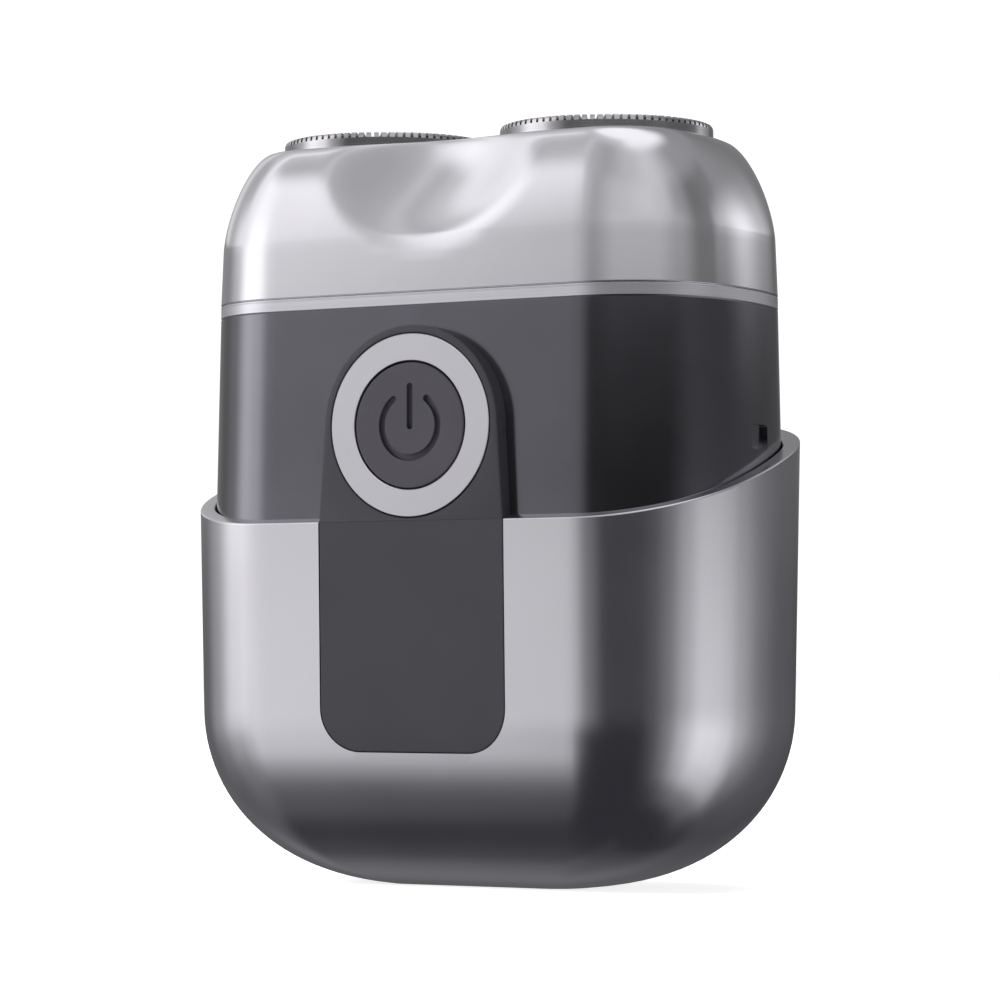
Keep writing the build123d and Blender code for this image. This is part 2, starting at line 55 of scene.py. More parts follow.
band_low, band_high = span("trim_band", 2)
half_width = span("trim_band", 1)[1]
half_length = span("trim_band", 0)[1]
end_reach = 13.11          # bowed end beyond the flat front
corner_radius = 12.70
half_flat = half_length - end_reach
cover_low, cover_top = span("head_cover", 2)
cap_top = span("cap_right", 2)[1]
body_low = span("body_shell", 2)[0]
rim_front, rim_back, rim_depth = 42.4, 54.6, 19.7
bowl_height = 20.3
bowl_end_inset, bowl_side_scale = 18.0, 0.90
bowl_end_power, bowl_side_power = 0.56, 0.91
bowl_turn = 0.9 * pi / 2
body_draft, jacket_draft, jacket_step = 0.0199, 0.0205, 2.34
jacket_wall, jacket_gap, jacket_straight = 1.55, 0.2, 40.0
cover_draft, shoulder_height, shoulder_power = 0.041, 11.5, 1.6
shoulder_end, shoulder_front = 5.4, 3.6
scoop_radius, scoop_depth, scoop_height = 22.35, 33.2, 91.9
head_x = 15.0
cap_radius = 12.5
button_z = 53.3
panel_front = -19.75
tongue_low, tongue_half, tongue_corner = 15.95, 12.25, 5.0
arch_radius = 11.5


# ---- camera ----

def add_camera():
    """Camera a little below and to the right of the front, looking slightly up."""
    data = bpy.data.cameras.new("camera")
    data.sensor_width = 36.0
    data.lens = 137.53
    data.clip_start, data.clip_end = 0.02, 50.0
    camera = bpy.data.objects.new("camera", data)
    bpy.context.scene.collection.objects.link(camera)
    camera.location = Vector((226.45, -392.15, 26.61)) * MM
    azimuth, elevation = radians(29.94), radians(2.38)
    forward = Vector((-sin(azimuth) * cos(elevation), cos(azimuth) * cos(elevation), sin(elevation)))
    camera.rotation_euler = forward.to_track_quat("-Z", "Y").to_euler()
    bpy.context.scene.camera = camera


add_camera()


# ---- mesh helpers ----

def finish_mesh(name, bm, sharp=32.0):
    """Turn a bmesh in millimetres into a smooth-shaded object with crisp edges."""
    bmesh.ops.scale(bm, vec=(MM, MM, MM), verts=bm.verts)
    bmesh.ops.recalc_face_normals(bm, faces=bm.faces)
    mark_edges(bm, sharp)
    mesh = bpy.data.meshes.new(name)
    bm.to_mesh(mesh)
    bm.free()
    obj = bpy.data.objects.new(name, mesh)
    bpy.context.scene.collection.objects.link(obj)
    return obj


def mark_edges(bm, sharp):
    """Smooth faces, with an edge left sharp where its faces meet at an angle."""
    for face in bm.faces:
        face.smooth = True
    for edge in bm.edges:
        two = len(edge.link_faces) == 2
        edge.smooth = two and edge.calc_face_angle(0.0) < radians(sharp)


def add_rings(bm, rings, closed=True):
    """Quads between rings of equal length; the first and last ring are capped."""
    loops = [[bm.verts.new(point) for point in ring] for ring in rings]
    count = len(loops[0])
    for below, above in zip(loops, loops[1:]):
        for i in range(count):
            j = (i + 1) % count
            bm.faces.new((below[i], below[j], above[j], above[i]))
    if closed:
        bm.faces.new(list(reversed(loops[0])))
        bm.faces.new(loops[-1])


def solid_of_rings(name, rings, sharp=32.0):
    """Closed object made of stacked rings."""
    bm = bmesh.new()
    add_rings(bm, rings)
    return finish_mesh(name, bm, sharp)


def circle(radius, z, x=0.0, y=0.0, steps=96):
    """Level ring of points."""
    return [(x + radius * cos(2 * pi * i / steps), y + radius * sin(2 * pi * i / steps), z)
            for i in range(steps)]


def turned(name, profile, x=0.0, steps=192, sharp=32.0):
    """Closed body turned from a profile that is a loop of (radius, height) points."""
    bm = bmesh.new()
    loops = []
    for radius, z in profile:
        loops.append([bm.verts.new(point) for point in circle(radius, z, x, 0.0, steps)])
    loops.append(loops[0])
    for below, above in zip(loops, loops[1:]):
        for i in range(steps):
            j = (i + 1) % steps
            bm.faces.new((below[i], below[j], above[j], above[i]))
    bmesh.ops.remove_doubles(bm, verts=bm.verts, dist=1e-5)
    return finish_mesh(name, bm, sharp)


def prism_y(name, outline, front, back):
    """Solid with an (x, z) outline, run along Y."""
    rings = [[(x, y, z) for x, z in outline] for y in (front, back)]
    return solid_of_rings(name, rings)


def join_tools(tools):
    """One object from several."""
    bm = bmesh.new()
    for tool in tools:
        bm.from_mesh(tool.data)
        bpy.data.objects.remove(tool)
    mesh = bpy.data.meshes.new("tools")
    bm.to_mesh(mesh)
    bm.free()
    obj = bpy.data.objects.new("tools", mesh)
    bpy.context.scene.collection.objects.link(obj)
    return obj


def cut(obj, tools, sharp=32.0):
    """Subtract tool solids from an object and keep the result as its mesh."""
    tool = join_tools(tools)
    modifier = obj.modifiers.new("cut", "BOOLEAN")
    modifier.operation, modifier.solver, modifier.object = "DIFFERENCE", "EXACT", tool
    bpy.context.view_layer.update()
    evaluated = obj.evaluated_get(bpy.context.evaluated_depsgraph_get())
    bm = bmesh.new()
    bm.from_mesh(evaluated.to_mesh())
    evaluated.to_mesh_clear()
    obj.modifiers.clear()
    bmesh.ops.dissolve_degenerate(bm, dist=1e-7, edges=bm.edges)
    mark_edges(bm, sharp)
    bm.to_mesh(obj.data)
    bm.free()
    bpy.data.objects.remove(tool)
    return obj


def arc_steps(steps, turn=pi / 2):
    """Angles from zero to a turn, both included."""
    return [turn * step / steps for step in range(steps + 1)]


# ---- plan curve ----

flat_steps, corner_steps, end_steps = 40, 24, 36


def plan_curve(offset=0.0, inset=0.0, scale=1.0):
    """Points and outward normals of the body's plan curve."""
    flat = half_flat - inset
    width = (half_width + offset) * scale
    reach = (end_reach + offset) * scale
    corner = (corner_radius + offset) * scale
    bow = (reach**2 + width**2 - 2 * width * corner) / (2 * (reach - corner))
    bow_x = flat + reach - bow
    turn = atan2(width - corner, flat - bow_x)
    rise = width - corner
    quarter = pi / 2 - turn
    curve = []

    def line(x_from, x_to, y, normal):
        for i in range(flat_steps):
            curve.append((x_from + (x_to - x_from) * i / flat_steps, y, 0.0, normal))

    def arc(x, y, radius, start, sweep, steps):
        for i in range(steps):
            angle = start + sweep * i / steps
            curve.append((x + radius * cos(angle), y + radius * sin(angle), cos(angle), sin(angle)))

    line(-flat, flat, -width, -1.0)
    arc(flat, -rise, corner, -pi / 2, quarter, corner_steps)
    arc(bow_x, 0, bow, -turn, 2 * turn, end_steps)
    arc(flat, rise, corner, turn, quarter, corner_steps)
    line(flat, -flat, width, 1.0)
    arc(-flat, rise, corner, pi / 2, quarter, corner_steps)
    arc(-bow_x, 0, bow, pi - turn, 2 * turn, end_steps)
    arc(-flat, -rise, corner, pi + turn, quarter, corner_steps)
    return curve


base_curve = plan_curve()


def ring_at(height, offset):
    """Ring on the plan curve; height and offset may depend on the point."""
    ring = []
    for x, y, nx, ny in base_curve:
        z = height(y) if callable(height) else height
        grow = offset(z) if callable(offset) else offset
        px, py = x + grow * nx, y + grow * ny
        if callable(height):
            z = height(py)
        ring.append((px, py, z))
    return ring


# ---- lower shell ----

def jacket_offset(z):
    return jacket_step - jacket_draft * (rim_front - z)


def jacket_inner(z):
    """Inside of the lower shell: an even wall, then a hairline off the body."""
    if z < jacket_straight:
        return jacket_offset(z) - jacket_wall
    return body_draft * (band_low - z) + jacket_gap


def rim(y):
    """Height of the sloping rim at a depth."""
    return (rim_front + rim_back) / 2 + (rim_back - rim_front) / 2 * y / rim_depth


def bowl_ring(angle, shrink, floor):
    """One ring of the rounded underside."""
    z = bowl_height - (bowl_height - floor) * sin(angle) / sin(bowl_turn)
    end = 1 - cos(angle)**bowl_end_power
    side = 1 - cos(angle)**bowl_side_power
    curve = plan_curve(jacket_offset(z) - shrink, bowl_end_inset * end, 1 - bowl_side_scale * side)
    return [(x, y, z) for x, y, nx, ny in curve]


def panel_outline(grow=0.0, arc_points=48):
    """Tongue with an arched top, as (x, z) points, anticlockwise from the foot."""
    radius, half = arch_radius + grow, tongue_half + grow
    foot, corner = tongue_low - grow, tongue_corner + grow
    distance = hypot(half, button_z - rim_front)
    slant = atan2(half, button_z - rim_front) - atan2(radius, sqrt(distance**2 - radius**2))
    points = []
    for angle in arc_steps(12):
        points.append((half - corner + corner * sin(angle), foot + corner - corner * cos(angle)))
    points.append((half, (foot + corner + rim_front) / 2))
    points.append((half, rim_front))
    for i in range(arc_points + 1):
        angle = slant + (pi - 2 * slant) * i / arc_points
        points.append((radius * cos(angle), button_z + radius * sin(angle)))
    points.append((-half, rim_front))
    points.append((-half, (foot + corner + rim_front) / 2))
    for angle in reversed(arc_steps(12)):
        points.append((-half + corner - corner * sin(angle), foot + corner - corner * cos(angle)))
    return points


def slot_tool(name, length, width, low, high):
    """Upright bar with rounded ends."""
    radius, half = width / 2, (length - width) / 2
    outline = []
    for side, start in ((1, -pi / 2), (-1, pi / 2)):
        for angle in arc_steps(12, pi):
            outline.append((side * half + radius * cos(start + angle), radius * sin(start + angle)))
    return solid_of_rings(name, [[(x, y, z) for x, y in outline] for z in (low, high)])


def make_lower_shell():
    """Outer shell: rounded underside, drafted wall, sloping rim, tongue window."""
    rings = [bowl_ring(angle, 0.0, 0.0) for angle in reversed(arc_steps(26, bowl_turn))]
    edge, hold = 0.16, 0.5
    for step in range(1, 25):
        share = step / 24
        rings.append(ring_at(lambda y: bowl_height + (rim(y) - hold - bowl_height) * share, jacket_offset))
    rings.append(ring_at(lambda y: rim(y) - edge - 0.03, jacket_offset))
    rings.append(ring_at(lambda y: rim(y) - edge, jacket_offset))
    for angle in arc_steps(4)[1:]:
        rings.append(ring_at(lambda y: rim(y) - edge * (1 - sin(angle)),
                             lambda z: jacket_offset(z) - edge * (1 - cos(angle))))
    lip = 0.12
    rings.append(ring_at(rim, lambda z: jacket_inner(z) + lip))
    rings.append(ring_at(lambda y: rim(y) - lip, jacket_inner))
    for share in (0.75, 0.5, 0.25, 0.1):
        rings.append(ring_at(lambda y: bowl_height + (rim(y) - bowl_height) * share, jacket_inner))
    rings += [bowl_ring(angle, jacket_wall, jacket_wall) for angle in arc_steps(14, bowl_turn)]
    shell = solid_of_rings("lower_shell_skin", rings)
    tools = [prism_y("window", panel_outline(0.1), -24, -14.5), slot_tool("port", 9.6, 3.9, -1, 5)]
    for x in (-10.5, 10.5):
        steps = ((2.3, -1.5), (2.3, -0.1), (2.1, 0.1), (2.1, 0.9), (1.15, 0.9), (1.15, 5))
        tools.append(solid_of_rings("sink", [circle(radius, z, x, 0, 40) for radius, z in steps]))
    return cut(shell, tools)


def body_outer(z):
    """Offset of the dark body's outside from the plan curve at a height."""
    if z >= jacket_straight:
        return body_draft * (band_low - z)
    low = jacket_offset(body_low) - jacket_wall - jacket_gap
    share = (z - body_low) / (jacket_straight - body_low)
    return low + (body_draft * (band_low - jacket_straight) - low) * share


def make_body_shell():
    """Dark body: a drafted tube with an eased top edge, a deck ledge and snap pockets."""
    ease, wall, ledge = 0.12, 1.3, 2.2
    heights = [body_low, 26, 31, 36, jacket_straight, 43]
    heights += [*range(46, 67, 2), band_low - ease]
    rings = [ring_at(z, body_outer) for z in heights]
    rings.append(ring_at(band_low, -ease))
    rings.append(ring_at(band_low, -wall))
    rings += [ring_at(65.9, -wall), ring_at(65.9, -ledge), ring_at(64.4, -ledge), ring_at(64.4, -wall)]
    rings += [ring_at(z, lambda h: body_outer(h) - wall) for z in (jacket_straight, body_low)]
    bm = bmesh.new()
    add_rings(bm, rings + [rings[0]], closed=False)
    bmesh.ops.remove_doubles(bm, verts=bm.verts, dist=1e-5)
    shell = finish_mesh("body_shell_skin", bm)
    return cut(shell, [pocket_tool(-1), pocket_tool(1), round_tool("hole", 2.6, -19, -15, 64)])


def pocket_tool(side):
    """Wedge that cuts a snap pocket into one end of the body."""
    centre_y, centre_z, half, tall, corner = 1.3, 52.0, 2.2, 1.4, 0.25
    shallow, deep = 34.21, 33.5
    outline = []
    for sy, sz, start in ((1, -1, -pi / 2), (1, 1, 0), (-1, 1, pi / 2), (-1, -1, pi)):
        for angle in arc_steps(4):
            outline.append((sy * (half - corner) + corner * cos(start + angle),
                            sz * (tall - corner) + corner * sin(start + angle)))
    rings = []
    for out in (False, True):
        ring = []
        for y, z in outline:
            share = (y + half) / (2 * half)
            depth = 37.0 if out else shallow + (deep - shallow) * share
            ring.append((side * depth, centre_y + y, centre_z + z))
        rings.append(ring)
    return solid_of_rings("pocket", rings)


# ---- head cover ----

def soft_floor(value, floor, blend):
    """The larger of two values, with a rounded join."""
    overlap = max(blend - abs(value - floor), 0.0) / blend
    return max(value, floor) + overlap * overlap * blend / 4


def scooped(x, y, z, shrink):
    """Pull a point of the front or back onto the scoop between the heads."""
    if y == 0:
        return x, y, z
    reach = (scoop_radius + shrink)**2 - x * x - (z - scoop_height)**2
    surface = -scoop_depth + sqrt(max(reach, 0.0))
    depth = soft_floor(-abs(y), surface, 3.2)
    return x, (depth if y < 0 else -depth), z


def cover_ring(angle, shrink, ceiling_drop):
    """Ring of the cover's shoulder; angle 0 is its foot, a right angle its top."""
    power = 2 / shoulder_power
    foot = cover_top - shoulder_height
    rise = sin(angle)**power if angle > 0 else 0.0
    draw = 1 - max(cos(angle), 0.0)**power
    z = foot + (shoulder_height - ceiling_drop) * rise
    offset = -cover_draft * (z - cover_low) - shoulder_front * draw - shrink
    curve = plan_curve(offset, (shoulder_end - shoulder_front) * draw)
    return [scooped(x, y, z, shrink) for x, y, nx, ny in curve]


def skirt_ring(z, shrink):
    """Ring of the cover's drafted skirt."""
    curve = plan_curve(-cover_draft * (z - cover_low) - shrink)
    return [scooped(x, y, z, shrink) for x, y, nx, ny in curve]


def make_head_cover():
    """Silver cover with rounded shoulders, scoops and two round openings."""
    foot = cover_top - shoulder_height
    wall, ease = 1.2, 0.12
    rings = [skirt_ring(cover_low, ease)]
    rings += [skirt_ring(cover_low + ease + (foot - cover_low - ease) * i / 6, 0.0) for i in range(7)]
    rings += [cover_ring(angle, 0.0, 0.0) for angle in arc_steps(36)[1:]]
    outside = len(rings)
    rings += [cover_ring(angle, wall, 1.75) for angle in reversed(arc_steps(20))]
    rings.append(skirt_ring(cover_low, wall))
    bm = bmesh.new()
    loops = [[bm.verts.new(point) for point in ring] for ring in rings]
    count = len(loops[0])
    for k, (below, above) in enumerate(zip(loops, loops[1:] + loops[:1])):
        if k == outside - 1:
            continue
        for i in range(count):
            j = (i + 1) % count
            bm.faces.new((below[i], below[j], above[j], above[i]))
    bm.faces.new(loops[outside - 1])
    bm.faces.new(list(reversed(loops[outside])))
    cover = finish_mesh("head_cover_skin", bm)
    tools = []
    for side in (-1, 1):
        radius = cap_radius + 0.25
        rings = [circle(radius, 80, side * head_x, 0, 160),
                 circle(radius, cover_top - 0.2, side * head_x, 0, 160),
                 circle(radius + 0.6, cover_top + 0.4, side * head_x, 0, 160)]
        tools.append(solid_of_rings("opening", rings))
    return cut(cover, tools)


def make_cover_pads():
    """Four magnet pads and the knob's post, moulded inside the cover."""
    bm = bmesh.new()
    pad = ((1.8, 71.75), (1.8, 70.2), (2.5, 70.15), (2.6, 70.3), (2.6, 75.6))
    for x in (-26.7, 26.7):
        for y in (-11.2, 11.2):
            add_rings(bm, [circle(radius, z, x, y, 40) for radius, z in pad])
    post = ((0.85, 84.5), (0.85, 82.2), (1.4, 82.2), (1.5, 82.3), (1.5, 85.6))
    add_rings(bm, [circle(radius, z, 0, 0, 32) for radius, z in post])
    return finish_mesh("cover_pads", bm)


def make_trim_band():
    """Brushed band with eased edges and a fine groove under the cover."""
    ease, wall = 0.1, 1.3
    rings = [ring_at(band_low, -ease), ring_at(band_low + ease, 0.0),
             ring_at(band_high - 0.34, 0.0),
             ring_at(band_high - 0.30, -0.07), ring_at(band_high - 0.24, -0.07),
             ring_at(band_high - 0.20, 0.0), ring_at(band_high - ease, 0.0), ring_at(band_high, -ease),
             ring_at(band_high, -wall), ring_at(band_low, -wall)]
    bm = bmesh.new()
    add_rings(bm, rings + [rings[0]], closed=False)
    bmesh.ops.remove_doubles(bm, verts=bm.verts, dist=1e-5)
    return finish_mesh("trim_band_skin", bm)


# ---- front panel, ring and button ----

def shell_front(z):
    """Depth of the lower shell's flat front at a height."""
    if z >= bowl_height:
        return -(half_width + jacket_offset(z))
    lift = min(1.0, (bowl_height - z) * sin(bowl_turn) / bowl_height)
    side = 1 - sqrt(1 - lift * lift)**bowl_side_power
    return -(half_width + jacket_offset(z)) * (1 - bowl_side_scale * side)


def panel_face_depth(z, inner):
    """Front of the panel: flush below the rim, upright above it, with eased edges."""
    raised = z > rim_front - 0.01
    ease = 0.2 if raised else 0.12
    front = panel_front if raised else shell_front(z)
    near = max(0.0, ease - inner)
    return front + ease - sqrt(max(ease * ease - near * near, 0.0))


def make_front_panel():
    """Inlaid tongue and raised arch in one piece, with the ring's recess."""
    insets = (0.0, 0.02, 0.06, 0.12, 0.2)
    bm = bmesh.new()
    depth_of = bm.verts.layers.float.new("inset")
    loops = []
    for inset in insets:
        loop = [bm.verts.new((x, 0.0, z)) for x, z in panel_outline(-inset)]
        for vert in loop:
            vert[depth_of] = inset
        loops.append(loop)
    count = len(loops[0])
    for outer, inner in zip(loops, loops[1:]):
        for i in range(count):
            j = (i + 1) % count
            bm.faces.new((outer[i], outer[j], inner[j], inner[i]))
    bm.faces.new(loops[-1])
    for z in (17.2, 18.4, 19.4, bowl_height, 24, 28, 32, 36, 40, rim_front - 0.02, rim_front):
        geometry = bm.verts[:] + bm.edges[:] + bm.faces[:]
        bmesh.ops.bisect_plane(bm, geom=geometry, plane_co=(0, 0, z), plane_no=(0, 0, 1), dist=1e-4)
    for vert in bm.verts:
        vert.co.y = panel_face_depth(vert.co.z, vert[depth_of])
    border = [edge for edge in bm.edges if len(edge.link_faces) == 1]
    made = bmesh.ops.extrude_edge_only(bm, edges=border)
    back = [item for item in made["geom"] if isinstance(item, bmesh.types.BMVert)]
    for vert in back:
        vert.co.y = -(half_width + body_outer(vert.co.z)) - 0.02 if vert.co.z >= body_low else -17.55
    rim_edges = [edge for edge in bm.edges if len(edge.link_faces) == 1]
    bmesh.ops.holes_fill(bm, edges=rim_edges, sides=0)
    panel = finish_mesh("front_panel_skin", bm, 28.0)
    seat = panel_front + 0.8
    steps = [(11.2, -20.3), (10.62, panel_front + 0.1), (10.62, seat), (7.4, seat),
             (7.4, -18.6), (8.1, -18.6), (8.1, -12)]
    return cut(panel, [facing_turned("bore", steps, 160, closed=False)], 28.0)


def round_tool(name, radius, front, back, steps=128):
    """Cutting cylinder along Y, centred on the button."""
    rings = [[(radius * cos(2 * pi * i / steps), y, button_z + radius * sin(2 * pi * i / steps))
              for i in range(steps)] for y in (front, back)]
    return solid_of_rings(name, rings)


def facing_turned(name, profile, steps=160, sharp=32.0, closed=True):
    """Body turned about the button's axis from (radius, depth) points."""
    bm = bmesh.new()
    loops = []
    for radius, y in profile:
        loops.append([bm.verts.new((radius * cos(2 * pi * i / steps), y,
                                    button_z + radius * sin(2 * pi * i / steps))) for i in range(steps)])
    pairs = list(zip(loops, loops[1:]))
    if closed:
        pairs.append((loops[-1], loops[0]))
    for below, above in pairs:
        for i in range(steps):
            j = (i + 1) % steps
            bm.faces.new((below[i], below[j], above[j], above[i]))
    if not closed:
        bm.faces.new(loops[0])
        bm.faces.new(loops[-1])
    return finish_mesh(name, bm, sharp)


def make_bezel_ring():
    """Flat pale ring with a hairline chamfer inside and outside."""
    front, back = panel_front - 0.03, panel_front + 0.78
    outer, bore, ease = 10.5, 7.4, 0.07
    profile = [(outer, back), (outer, front + ease), (outer - ease, front), (outer - 0.3, front),
               (bore + 0.3, front), (bore + ease, front), (bore, front + ease), (bore, back)]
    return facing_turned("bezel_ring_skin", profile, 192, 24.0)


def power_tools():
    """Generic power mark: an open ring and a bar with rounded ends."""
    radius, half, centre, gap = 3.72, 0.4, button_z, radians(36)
    front, floor = panel_front - 1, panel_front + 0.6
    steps = 72
    start, sweep = pi / 2 + gap, 2 * (pi - gap)
    outline = [((radius + half) * cos(start + sweep * i / steps),
                centre + (radius + half) * sin(start + sweep * i / steps))
               for i in range(steps + 1)]
    end = start + sweep
    cx, cz = radius * cos(end), centre + radius * sin(end)
    outline += [(cx + half * cos(end + a), cz + half * sin(end + a)) for a in arc_steps(10, pi)[1:-1]]
    outline += [((radius - half) * cos(end - sweep * i / steps),
                 centre + (radius - half) * sin(end - sweep * i / steps))
                for i in range(steps + 1)]
    cx, cz = radius * cos(start), centre + radius * sin(start)
    outline += [(cx + half * cos(start + pi + a), cz + half * sin(start + pi + a))
                for a in arc_steps(10, pi)[1:-1]]
    arc = prism_y("power_arc", outline, front, floor)
    low, high = button_z - 0.1, button_z + 4.45
    bar_outline = [(half * cos(a), high + half * sin(a)) for a in arc_steps(12, pi)]
    bar_outline += [(half * cos(pi + a), low + half * sin(pi + a)) for a in arc_steps(12, pi)]
    bar = prism_y("power_bar", bar_outline, front, floor)
    return [arc, bar]


def make_button():
    """Button with a faint dish, an eased rim and the engraved power mark."""
    front, ease, radius = panel_front, 0.15, 7.2
    profile = [(2.0, front + 0.05), (4.0, front + 0.035), (5.6, front + 0.015), (radius - 0.4, front),
               (radius - ease, front)]
    profile += [(radius - ease * (1 - sin(a)), front + ease * (1 - cos(a))) for a in arc_steps(6)[1:]]
    profile += [(radius, -18.56), (7.9, -18.54), (7.9, -18.2), (1.9, -18.2), (1.9, -17.05), (1.8, -17.0)]
    button = facing_turned("power_button_skin", profile, closed=False)
    return cut(button, power_tools())


# ---- caps ----

slot_count, slot_width, slot_slant = 84, 0.34, radians(10)


def make_caps():
    """Two thin steel caps with slanted slots over their rounded corners."""
    r, top, skin = cap_radius, cap_top, 0.35
    low, corner = top - 4.2, top - 0.62
    flange, flange_top = 13.1, top - 3.5
    track = 7.4
    profile = [(r - skin, low), (flange - 0.06, low), (flange, low + 0.06), (flange, flange_top - 0.06),
               (flange - 0.06, flange_top), (r + 0.15, flange_top), (r, flange_top + 0.15),
               (r, corner - 0.25), (r, corner - 0.06), (r, corner)]
    profile += [(r - 0.26 * (1 - cos(a)), corner + 0.6 * sin(a)) for a in arc_steps(6)[1:]]
    profile += [(r - 0.5, top), (11.2, top - 0.02), (track - 0.2, top), (track - 0.35, top - 0.08),
                (track - 0.6, top - 0.5), (6.4, top - 0.55), (2.9, top - 0.55), (2.5, top - 0.45),
                (2.2, top - 0.22), (1.2, top - 0.2), (0.0, top - 0.2)]
    under = [(0.0, top - 0.2 - skin), (2.3, top - 0.2 - skin), (2.8, top - 0.55 - skin),
             (track - 0.5, top - 0.55 - skin), (track - 0.15, top - skin), (r - skin - 0.15, top - skin),
             (r - skin, corner)]
    inner, outer = track + 0.5, r + 0.6
    middle, reach, half = (inner + outer) / 2, (outer - inner) / 2, slot_width / 2
    tools = []
    for n in range(slot_count):
        angle = 2 * pi * n / slot_count
        x, y = middle * cos(angle), middle * sin(angle)
        ux, uy = cos(angle + slot_slant), sin(angle + slot_slant)
        outline = [(x + s * reach * ux - t * half * uy, y + s * reach * uy + t * half * ux)
                   for s, t in ((-1, -1), (1, -1), (1, 1), (-1, 1))]
        rings = [[(px, py, z) for px, py in outline] for z in (corner, top + 1)]
        tools.append(solid_of_rings("slot", rings))
    left = cut(turned("cap_left_skin", profile + under, 0.0, 336), tools, 24.0)
    right = bpy.data.objects.new("cap_right_skin", left.data)
    bpy.context.scene.collection.objects.link(right)
    left.location.x = -head_x * MM
    right.location.x = head_x * MM
    return left, right


# ---- materials ----

class Shader:
    """Builds one node-based material around a Principled shader."""

    def __init__(self, name, metallic=0.0, ior=1.5):
        self.material = bpy.data.materials.new(name)
        self.material.use_nodes = True
        self.tree = self.material.node_tree
        self.shader = self.tree.nodes["Principled BSDF"]
        self.shader.inputs["Metallic"].default_value = metallic
        self.shader.inputs["IOR"].default_value = ior
        self.coords = self.tree.nodes.new("ShaderNodeTexCoord").outputs["Object"]
        self.last_bump = None

    def node(self, kind, **inputs):
        made = self.tree.nodes.new("ShaderNode" + kind)
        for key, value in inputs.items():
            made.inputs[key].default_value = value
        return made

    def link(self, source, target):
        self.tree.links.new(source, target)

    def stretched(self, scale):
        mapping = self.node("Mapping", Scale=scale)
        self.link(self.coords, mapping.inputs["Vector"])
        return mapping.outputs["Vector"]

    def noise(self, scale, size=1.0, detail=3.0, roughness=0.55):
        """Noise over the object, its coordinates stretched by a scale per axis, per metre."""
        made = self.node("TexNoise", Scale=size, Detail=detail, Roughness=roughness)
        self.link(self.stretched(scale), made.inputs["Vector"])
        return made.outputs["Fac"]

    def ranged(self, value, low, high, start=0.3, stop=0.7):
        """A noise value spread over a range."""
        made = self.node("MapRange")
        made.inputs["From Min"].default_value, made.inputs["From Max"].default_value = start, stop
        made.inputs["To Min"].default_value, made.inputs["To Max"].default_value = low, high
        self.link(value, made.inputs["Value"])
        return made.outputs["Result"]

    def colour(self, value, dark, light):
        """Base colour that drifts between two tones."""
        ramp = self.tree.nodes.new("ShaderNodeValToRGB")
        ramp.color_ramp.elements[0].position, ramp.color_ramp.elements[1].position = 0.3, 0.7
        ramp.color_ramp.elements[0].color = (*dark, 1)
        ramp.color_ramp.elements[1].color = (*light, 1)
        self.link(value, ramp.inputs["Fac"])
        self.link(ramp.outputs["Color"], self.shader.inputs["Base Color"])

    def roughness(self, value, low, high):
        self.link(self.ranged(value, low, high), self.shader.inputs["Roughness"])

    def bump(self, value, height, strength=1.0):
        """Relief of a height in millimetres, stacked on the relief before it."""
        made = self.node("Bump", Strength=strength, Distance=height * MM)
        self.link(value, made.inputs["Height"])
        if self.last_bump:
            self.link(self.last_bump, made.inputs["Normal"])
        self.last_bump = made.outputs["Normal"]
        self.link(self.last_bump, self.shader.inputs["Normal"])


def grey(value, warm=0.0):
    """Neutral colour, a touch violet, or warmer where asked."""
    return (value * (1.0 + warm), value * 0.985, value * (1.045 - warm))


def satin_metal(name, tone, rough, grain=0.0012, size=2600, warm=0.0, spread=0.035, cast=1.0):
    """Fine-blasted or lacquered metal: a sparkle of grain, soft cloudy sheen."""
    made = Shader(name, metallic=1.0)
    cloud = made.noise((60, 60, 60), detail=4)
    grit = made.noise((size, size, size), detail=2)
    dark, light = (grey(tone * share, warm) for share in (1 - spread, 1 + spread))
    made.colour(cloud, (*dark[:2], dark[2] * cast), (*light[:2], light[2] * cast))
    made.roughness(cloud, rough * 0.93, rough * 1.08)
    made.bump(grit, grain)
    return made.material


def brushed_metal(name, tone, rough, scale, relief=0.002, warm=0.0, spread=0.14):
    """Metal with drawn lines: noise stretched along the brushing."""
    made = Shader(name, metallic=1.0)
    lines = made.noise(scale, detail=5, roughness=0.7)
    cloud = made.noise((90, 90, 90))
    made.colour(lines, grey(tone * (1 - spread), warm), grey(tone * (1 + spread), warm))
    made.roughness(cloud, rough * 0.85, rough * 1.15)
    made.bump(lines, relief)
    return made.material


def cool(value):
    """Dark neutral with a violet cast."""
    return (value * 1.02, value * 0.96, value * 1.17)


def plastic(name, tone, rough, grain=0.004, size=1800, spread=0.06, ior=1.5, metallic=0.0):
    """Moulded plastic: spark-eroded grain under a faint flow-line sheen."""
    made = Shader(name, metallic=metallic, ior=ior)
    cloud = made.noise((140, 140, 140), detail=4)
    grit = made.noise((size, size, size), detail=3, roughness=0.6)
    dark = tuple(c * (1 - spread) for c in tone)
    light = tuple(c * (1 + spread) for c in tone)
    made.colour(cloud, dark, light)
    made.roughness(grit, rough * 0.88, rough * 1.12)
    made.bump(cloud, grain * 2)
    made.bump(grit, grain)
    return made.material


